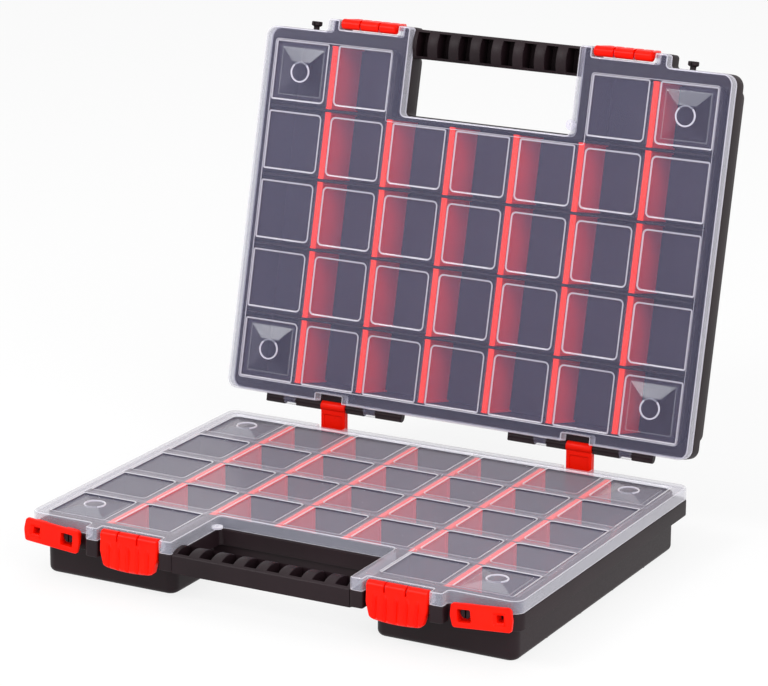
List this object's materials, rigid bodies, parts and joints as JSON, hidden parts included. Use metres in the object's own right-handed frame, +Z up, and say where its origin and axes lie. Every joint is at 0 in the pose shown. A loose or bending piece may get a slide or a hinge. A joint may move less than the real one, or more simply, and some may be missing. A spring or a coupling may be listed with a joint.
{
  "type": "double-sided sorting box",
  "caption": "Shallow compartment trays with hinged clear lids, snap latches and carrying handles, linked back to back by pivoting straps and shown standing open.",
  "frame": {"origin": "centre of the lower tray's underside, midway between its sides and between the front and rear edges of its grid", "axes": "+X to the right as seen from the handle side, +Y from the handle to the hinge side, +Z up"},
  "size_m": [0.4, 0.4067, 0.3622],
  "materials": {
    "black_plastic": "fine matte moulded",
    "clear_plastic": "translucent, glossy",
    "red_plastic": "semi-gloss",
    "red_strap_plastic": "semi-gloss",
    "red_divider_plastic": "satin"
  },
  "bodies": {
    "lower_tray": {"lower_base": "black_plastic", "lower_dividers_row_1": "red_divider_plastic", "lower_dividers_row_2": "red_divider_plastic", "lower_dividers_row_3": "red_divider_plastic", "lower_dividers_row_4": "red_divider_plastic", "lower_dividers_row_5": "red_divider_plastic"},
    "lower_lid": {"lower_lid": "clear_plastic"},
    "lower_latch_left": {"lower_latch_left": "red_plastic"},
    "lower_latch_right": {"lower_latch_right": "red_plastic"},
    "link_straps": {"link_strap_left": "red_strap_plastic", "link_strap_right": "red_strap_plastic"},
    "upper_tray": {"upper_base": "black_plastic", "upper_dividers_row_1": "red_divider_plastic", "upper_dividers_row_2": "red_divider_plastic", "upper_dividers_row_3": "red_divider_plastic", "upper_dividers_row_4": "red_divider_plastic", "upper_dividers_row_5": "red_divider_plastic"},
    "upper_lid": {"upper_lid": "clear_plastic"},
    "upper_latch_left": {"upper_latch_left": "red_plastic"},
    "upper_latch_right": {"upper_latch_right": "red_plastic"},
    "tie_strip_left": {"tie_strip_left": "red_plastic"},
    "tie_strip_right": {"tie_strip_right": "red_plastic"}
  },
  "joints": [
    {"name": "link_strap_pivot", "type": "hinge", "parent": "lower_tray", "child": "link_straps", "pos_m": [0, 0.1486, 0.0365], "axis": [-1, 0, 0], "range_deg": [0, 76.6]},
    {"name": "upper_tray_pivot", "type": "hinge", "parent": "link_straps", "child": "upper_tray", "pos_m": [0, 0.1486, 0.0635], "axis": [-1, 0, 0], "range_deg": [-103.4, 0]},
    {"name": "lower_lid_hinge", "type": "hinge", "parent": "lower_tray", "child": "lower_lid", "pos_m": [0, 0.1486, 0.0365], "axis": [-1, 0, 0], "range_deg": [0, 28]},
    {"name": "upper_lid_hinge", "type": "hinge", "parent": "upper_tray", "child": "upper_lid", "pos_m": [0, 0.1486, 0.0635], "axis": [1, 0, 0], "range_deg": [0, 100]},
    {"name": "lower_latch_left_hinge", "type": "hinge", "parent": "lower_lid", "child": "lower_latch_left", "pos_m": [-0.109, -0.1536, 0.0458], "axis": [-1, 0, 0], "range_deg": [0, 100]},
    {"name": "lower_latch_right_hinge", "type": "hinge", "parent": "lower_lid", "child": "lower_latch_right", "pos_m": [0.109, -0.1536, 0.0458], "axis": [-1, 0, 0], "range_deg": [0, 100]},
    {"name": "upper_latch_left_hinge", "type": "hinge", "parent": "upper_lid", "child": "upper_latch_left", "pos_m": [-0.109, 0.20959, 0.35963], "axis": [1, 0, 0], "range_deg": [0, 100]},
    {"name": "upper_latch_right_hinge", "type": "hinge", "parent": "upper_lid", "child": "upper_latch_right", "pos_m": [0.109, 0.20959, 0.35963], "axis": [1, 0, 0], "range_deg": [0, 100]},
    {"name": "tie_strip_left_pivot", "type": "hinge", "parent": "lower_tray", "child": "tie_strip_left", "pos_m": [-0.1617, -0.1452, 0.0365], "axis": [0, 1, 0], "range_deg": [0, 85.5]},
    {"name": "tie_strip_right_pivot", "type": "hinge", "parent": "lower_tray", "child": "tie_strip_right", "pos_m": [0.1617, -0.1452, 0.0365], "axis": [0, -1, 0], "range_deg": [0, 85.5]}
  ]
}
